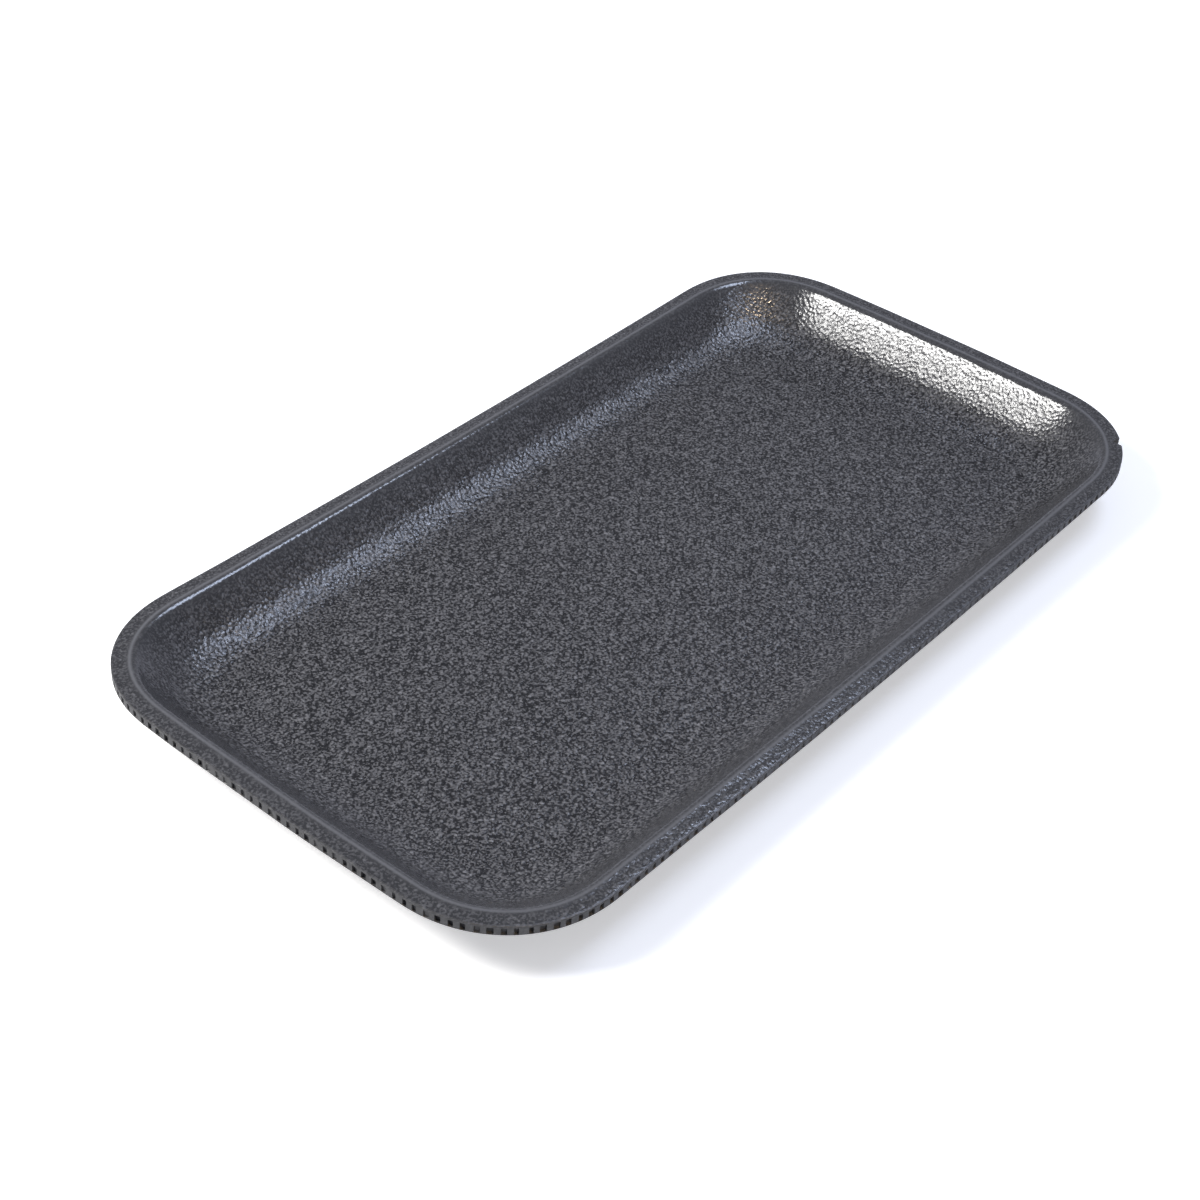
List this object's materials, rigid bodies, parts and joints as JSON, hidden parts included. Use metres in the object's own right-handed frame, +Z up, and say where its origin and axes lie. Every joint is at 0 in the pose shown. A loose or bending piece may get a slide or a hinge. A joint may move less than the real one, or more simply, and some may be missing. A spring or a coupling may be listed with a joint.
{
  "type": "foam meat tray",
  "caption": "Shallow oblong foam tray with rounded corners, sloping walls, a rounded crest and a narrow notched flange, for holding fresh food.",
  "frame": {"origin": "under the middle of the tray, on the surface that it stands on", "axes": "+X along the tray's length, +Y across it, +Z up out of its open side"},
  "size_m": [0.273, 0.146, 0.0166],
  "materials": {
    "foam": "charcoal polystyrene foam with a fine, slightly glossy moulded skin"
  },
  "bodies": {
    "root": {"foam_tray": "foam"}
  },
  "joints": []
}
